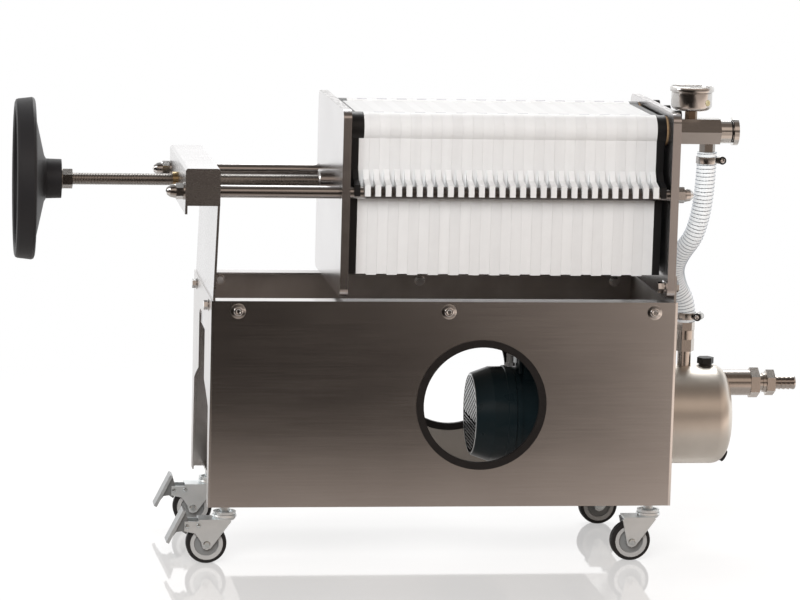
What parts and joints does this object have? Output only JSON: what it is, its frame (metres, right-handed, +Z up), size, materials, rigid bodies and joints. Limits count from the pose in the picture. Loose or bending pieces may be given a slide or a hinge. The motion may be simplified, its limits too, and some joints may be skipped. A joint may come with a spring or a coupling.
{
  "type": "plate filter press",
  "caption": "Mobile plate filter press: screw-closed pack of square plates on guide bars, over a steel base on casters with a pump, hose and gauge.",
  "frame": {"origin": "on the floor, under the middle of the overall box", "axes": "+X along the guide bars from the handwheel to the pump, +Y away from the manifold side, +Z up"},
  "size_m": [1.036, 0.268, 0.617],
  "materials": {
    "panel_steel": "brushed stainless sheet",
    "plate_steel": "satin stainless plate",
    "polished_steel": "polished stainless bar",
    "pump_steel": "polished drawn stainless steel",
    "zinc_steel": "bright zinc plate",
    "brass": "turned brass",
    "black_rubber": "matt black edging",
    "tan_rubber": "natural rubber ring",
    "black_plastic": "moulded black plastic",
    "wheel_plastic": "black moulded plastic",
    "white_plastic": "moulded white food-safe plastic",
    "grey_plastic": "moulded grey plastic",
    "motor_paint": "dark painted motor drum",
    "gauge_case": "polished steel case",
    "clear_hose": "clear flexible hose with a wire spiral",
    "tyre_rubber": "solid rubber tyre on a grey hub"
  },
  "bodies": {
    "frame": {"back_panel": "panel_steel", "bar_nuts_left": "polished_steel", "bar_nuts_right": "polished_steel", "beam_end_caps": "panel_steel", "cable_gland": "grey_plastic", "caster_mounts": "zinc_steel", "caster_rails": "panel_steel", "delivery_hose": "clear_hose", "drip_tray": "panel_steel", "filter_plates_a": "white_plastic", "filter_plates_b": "white_plastic", "first_filter_plate": "white_plastic", "fixed_end_plate": "black_plastic", "fixed_gaskets": "tan_rubber", "fixed_head": "plate_steel", "fixed_head_caps": "black_plastic", "fixed_head_support": "panel_steel", "front_panel": "panel_steel", "gauge_neck": "brass", "guide_bar_back": "polished_steel", "guide_bar_front": "polished_steel", "hose_adaptor": "polished_steel", "hose_clamps": "polished_steel", "left_end_panel": "panel_steel", "left_portal": "panel_steel", "manifold_block": "plate_steel", "motor_body": "motor_paint", "motor_fan_cover": "black_plastic", "motor_shelf": "panel_steel", "outlet_ferrule": "pump_steel", "pressure_gauge": "gauge_case", "pump_body": "pump_steel", "pump_cap": "black_plastic", "pump_drain": "black_plastic", "pump_inlet": "pump_steel", "pump_outlet": "pump_steel", "right_end_panel": "panel_steel", "screw_nut": "brass", "window_trims": "black_rubber"},
    "moving_head": {"moving_head": "plate_steel", "moving_end_plate": "black_plastic", "moving_gaskets": "tan_rubber", "screw_block": "polished_steel"},
    "screw": {"pressure_screw": "polished_steel", "handwheel": "wheel_plastic"},
    "left_front_swivel": {"caster_left_front_fork": "zinc_steel"},
    "left_front_wheel": {"caster_left_front_wheel": "tyre_rubber"},
    "left_front_pedal": {"caster_left_front_pedal": "zinc_steel"},
    "left_back_swivel": {"caster_left_back_fork": "zinc_steel"},
    "left_back_wheel": {"caster_left_back_wheel": "tyre_rubber"},
    "left_back_pedal": {"caster_left_back_pedal": "zinc_steel"},
    "right_front_swivel": {"caster_right_front_fork": "zinc_steel"},
    "right_front_wheel": {"caster_right_front_wheel": "tyre_rubber"},
    "right_back_swivel": {"caster_right_back_fork": "zinc_steel"},
    "right_back_wheel": {"caster_right_back_wheel": "tyre_rubber"}
  },
  "joints": [
    {"name": "head_slide", "type": "slide", "parent": "frame", "child": "moving_head", "axis": [-1, 0, 0], "range_m": [0, 0.12]},
    {"name": "handwheel_turn", "type": "hinge", "parent": "moving_head", "child": "screw", "pos_m": [-0.51802, 0, 0.4795], "axis": [-1, 0, 0], "range_deg": [0, 10800]},
    {"name": "left_front_swivel_turn", "type": "hinge", "parent": "frame", "child": "left_front_swivel", "pos_m": [-0.25099, -0.107, 0.0638], "axis": [0, 0, 1], "continuous": true},
    {"name": "left_front_wheel_roll", "type": "hinge", "parent": "left_front_swivel", "child": "left_front_wheel", "pos_m": [-0.27399, -0.107, 0.026], "axis": [0, 1, 0], "continuous": true},
    {"name": "left_front_pedal_press", "type": "hinge", "parent": "left_front_swivel", "child": "left_front_pedal", "pos_m": [-0.29698, -0.107, 0.05], "axis": [0, -1, 0], "range_deg": [0, 8]},
    {"name": "left_back_swivel_turn", "type": "hinge", "parent": "frame", "child": "left_back_swivel", "pos_m": [-0.25099, 0.107, 0.0638], "axis": [0, 0, 1], "continuous": true},
    {"name": "left_back_wheel_roll", "type": "hinge", "parent": "left_back_swivel", "child": "left_back_wheel", "pos_m": [-0.27399, 0.107, 0.026], "axis": [0, 1, 0], "continuous": true},
    {"name": "left_back_pedal_press", "type": "hinge", "parent": "left_back_swivel", "child": "left_back_pedal", "pos_m": [-0.29698, 0.107, 0.05], "axis": [0, -1, 0], "range_deg": [0, 8]},
    {"name": "right_front_swivel_turn", "type": "hinge", "parent": "frame", "child": "right_front_swivel", "pos_m": [0.30201, -0.107, 0.0638], "axis": [0, 0, 1], "continuous": true},
    {"name": "right_front_wheel_roll", "type": "hinge", "parent": "right_front_swivel", "child": "right_front_wheel", "pos_m": [0.27902, -0.107, 0.026], "axis": [0, 1, 0], "continuous": true},
    {"name": "right_back_swivel_turn", "type": "hinge", "parent": "frame", "child": "right_back_swivel", "pos_m": [0.30201, 0.107, 0.0638], "axis": [0, 0, 1], "continuous": true},
    {"name": "right_back_wheel_roll", "type": "hinge", "parent": "right_back_swivel", "child": "right_back_wheel", "pos_m": [0.27902, 0.107, 0.026], "axis": [0, 1, 0], "continuous": true}
  ],
  "couplings": [
    {"joint": "head_slide", "follows": "handwheel_turn", "m_per_rad": 0.00063662}
  ]
}
